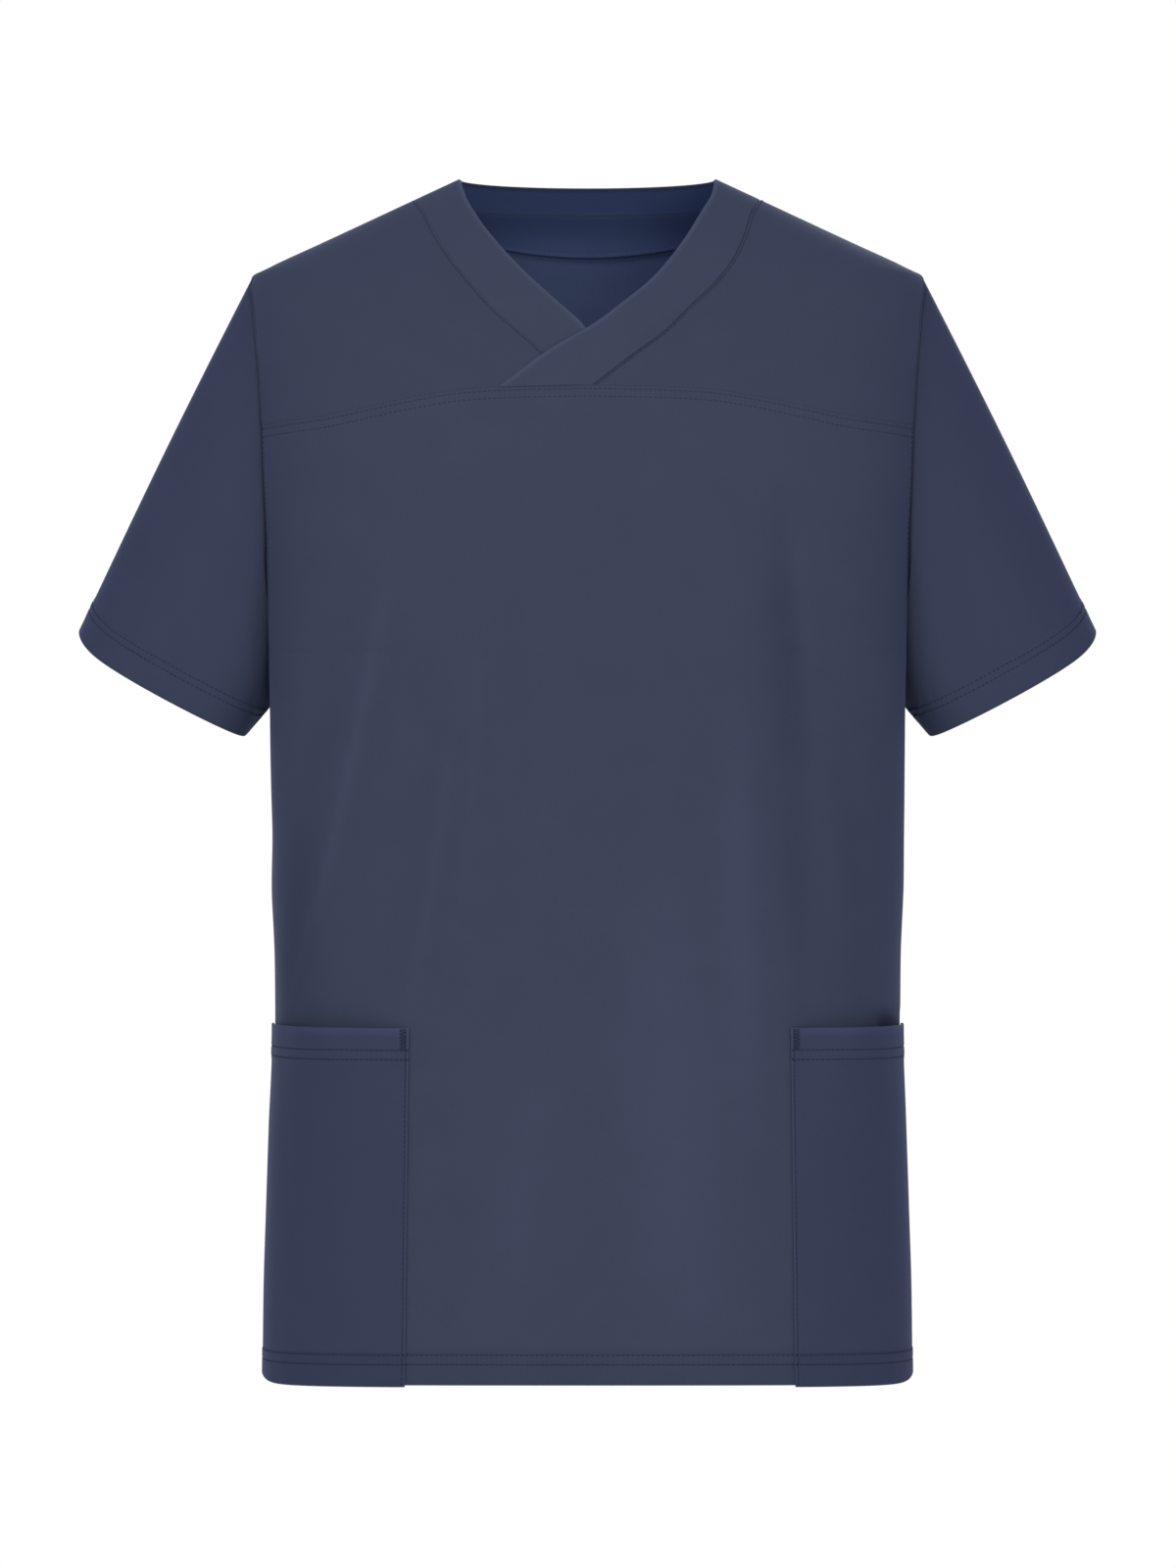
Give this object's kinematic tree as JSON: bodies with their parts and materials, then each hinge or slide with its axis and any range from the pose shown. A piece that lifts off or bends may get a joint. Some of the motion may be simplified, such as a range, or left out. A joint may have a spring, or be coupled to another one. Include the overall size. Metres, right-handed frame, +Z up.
{
  "type": "medical scrub top",
  "caption": "Short-sleeved hip-length scrub top with crossover V neck, chest yoke seam and patch pockets at the hem, filled out as worn and hollow.",
  "frame": {"origin": "midway between the two points where the neck meets the shoulders, where a wearer's shoulders carry the top", "axes": "+Z up along the length of the top, -Y out of its front, +X to the right as seen from the front"},
  "size_m": [0.6206, 0.238, 0.7343],
  "materials": {
    "front_cloth": "slate-navy stretch twill, matt with a faint sheen",
    "back_cloth": "slate-navy stretch twill, matt with a faint sheen",
    "yoke_cloth": "slate-navy stretch twill, matt with a faint sheen",
    "sleeve_cloth": "slate-navy stretch twill, matt with a faint sheen",
    "pocket_cloth": "slate-navy stretch twill, matt with a faint sheen",
    "band_cloth": "doubled slate-navy stretch twill, pressed flat, matt",
    "facing_cloth": "reverse side of the slate-navy twill, matt"
  },
  "bodies": {
    "root": {"front_body": "front_cloth", "back_body": "back_cloth", "front_yoke_right": "yoke_cloth", "front_yoke_left": "yoke_cloth", "neckband_right": "band_cloth", "neckband_left": "band_cloth", "neckband_back": "band_cloth", "back_neck_facing": "facing_cloth", "sleeve_right": "sleeve_cloth", "sleeve_left": "sleeve_cloth", "pocket_right": "pocket_cloth", "pocket_left": "pocket_cloth"}
  },
  "joints": []
}
